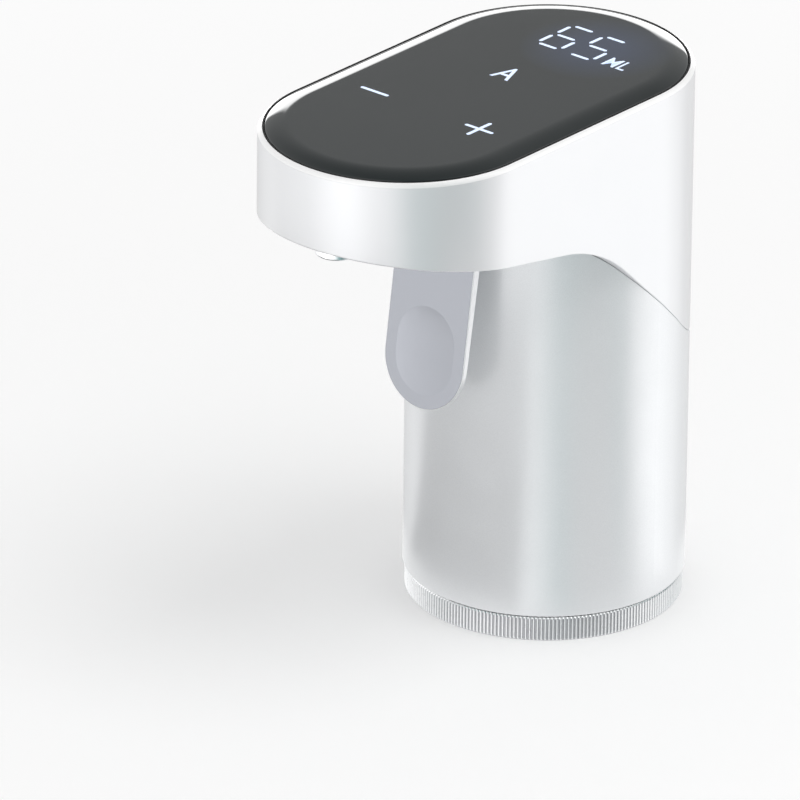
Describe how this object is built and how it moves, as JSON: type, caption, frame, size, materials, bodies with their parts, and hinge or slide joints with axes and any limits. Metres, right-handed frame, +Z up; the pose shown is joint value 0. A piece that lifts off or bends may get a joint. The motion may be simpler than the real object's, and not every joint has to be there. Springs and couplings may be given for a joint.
{
  "type": "electric wine aerator",
  "caption": "Electric pourer that stands on a bottle neck: slot-shaped head with a touch panel, round column, knurled twist base and a push lever under the spout.",
  "frame": {"origin": "centre of the neck socket's mouth, in the plane the base ring stands on", "axes": "+Z up along the column, -Y towards the spout, +Y towards the charging port, +X to the right seen from the spout"},
  "size_m": [0.054, 0.0974, 0.1097],
  "materials": {
    "white_shell": "glossy white, fine moulded",
    "silver_column": "glossy silver grey",
    "tinted_panel": "dark tinted, polished",
    "knurled_ring": "anodised silver, serrated",
    "lever_plastic": "satin grey",
    "nozzle_steel": "turned steel",
    "sleeve_plastic": "fine satin",
    "stopper_silicone": "soft matte silicone",
    "core_plastic": "satin",
    "clear_hose": "translucent silicone",
    "frame_plastic": "black moulded",
    "rotor_plastic": "acetal",
    "roller_plastic": "polished acetal",
    "motor_steel": "zinc plated",
    "motor_cap_plastic": "nylon",
    "magnet_ferrite": "dark ferrite",
    "copper_wire": "enamelled copper",
    "screw_steel": "plated steel",
    "board_laminate": "green solder mask",
    "chip_black": "moulded epoxy",
    "opal_guide": "opal light pipe",
    "cell_wrap": "shrink wrap",
    "lead_wire": "insulated wire"
  },
  "bodies": {
    "housing": {"aerator_body": "core_plastic", "aerator_screen": "nozzle_steel", "battery_cell": "cell_wrap", "battery_cradle": "frame_plastic", "battery_leads": "lead_wire", "bayonet_collar": "sleeve_plastic", "board_components": "chip_black", "case_screws": "screw_steel", "charge_board": "board_laminate", "charge_leads": "lead_wire", "collar_screws": "screw_steel", "control_board": "board_laminate", "display_module": "chip_black", "hose_joiners": "core_plastic", "icon_diffusers": "opal_guide", "inlet_elbow": "core_plastic", "inlet_tube": "clear_hose", "lever_pin": "nozzle_steel", "lever_spring": "screw_steel", "light_guide_frame": "frame_plastic", "lower_shell": "silver_column", "motor_can": "motor_steel", "motor_end_cap": "motor_cap_plastic", "motor_leads": "lead_wire", "motor_magnets": "magnet_ferrite", "nozzle": "nozzle_steel", "outlet_tube": "clear_hose", "panel_gasket": "frame_plastic", "pump_cover": "frame_plastic", "pump_frame": "frame_plastic", "pump_housing": "frame_plastic", "pump_tube": "clear_hose", "switch_body": "chip_black", "touch_leds": "opal_guide", "touch_panel": "tinted_panel", "touch_springs": "screw_steel", "underside_cover": "white_shell", "upper_shell": "white_shell", "usb_port": "screw_steel"},
    "neck_base": {"base_ring": "knurled_ring", "neck_sleeve": "sleeve_plastic", "stopper": "stopper_silicone", "stopper_core": "core_plastic", "inlet_seal": "stopper_silicone", "core_nut": "core_plastic", "vent_valve": "stopper_silicone"},
    "lever": {"dispense_lever": "lever_plastic"},
    "plunger": {"switch_plunger": "motor_cap_plastic"},
    "rotor": {"pump_rotor": "rotor_plastic", "motor_shaft": "motor_steel", "motor_armature": "magnet_ferrite", "motor_windings": "copper_wire"},
    "roller_one": {"roller_1": "roller_plastic"},
    "roller_two": {"roller_2": "roller_plastic"},
    "roller_three": {"roller_3": "roller_plastic"}
  },
  "joints": [
    {"name": "base_twist", "type": "hinge", "parent": "housing", "child": "neck_base", "pos_m": [0, 0, 0], "axis": [0, 0, 1], "range_deg": [0, 35]},
    {"name": "lever_swing", "type": "hinge", "parent": "housing", "child": "lever", "pos_m": [0, -0.0309, 0.091], "axis": [1, 0, 0], "range_deg": [0, 8], "stiffness_Nm_per_rad": 0.02, "springref_deg": -20.05},
    {"name": "plunger_slide", "type": "slide", "parent": "housing", "child": "plunger", "axis": [0, -1, 0], "range_m": [0, 0.0006]},
    {"name": "rotor_spin", "type": "hinge", "parent": "housing", "child": "rotor", "pos_m": [-0.01055, 0, 0.049], "axis": [0, 0, 1], "continuous": true},
    {"name": "roller_one_spin", "type": "hinge", "parent": "rotor", "child": "roller_one", "pos_m": [-0.01055, 0.0072, 0.049], "axis": [0, 0, 1], "continuous": true},
    {"name": "roller_two_spin", "type": "hinge", "parent": "rotor", "child": "roller_two", "pos_m": [-0.01679, -0.0036, 0.049], "axis": [0, 0, 1], "continuous": true},
    {"name": "roller_three_spin", "type": "hinge", "parent": "rotor", "child": "roller_three", "pos_m": [-0.00432, -0.0036, 0.049], "axis": [0, 0, 1], "continuous": true}
  ],
  "couplings": [
    {"joint": "plunger_slide", "follows": "lever_swing", "m_per_rad": 0.0042},
    {"joint": "roller_one_spin", "follows": "rotor_spin", "ratio": -4.02},
    {"joint": "roller_two_spin", "follows": "rotor_spin", "ratio": -4.02},
    {"joint": "roller_three_spin", "follows": "rotor_spin", "ratio": -4.02}
  ]
}
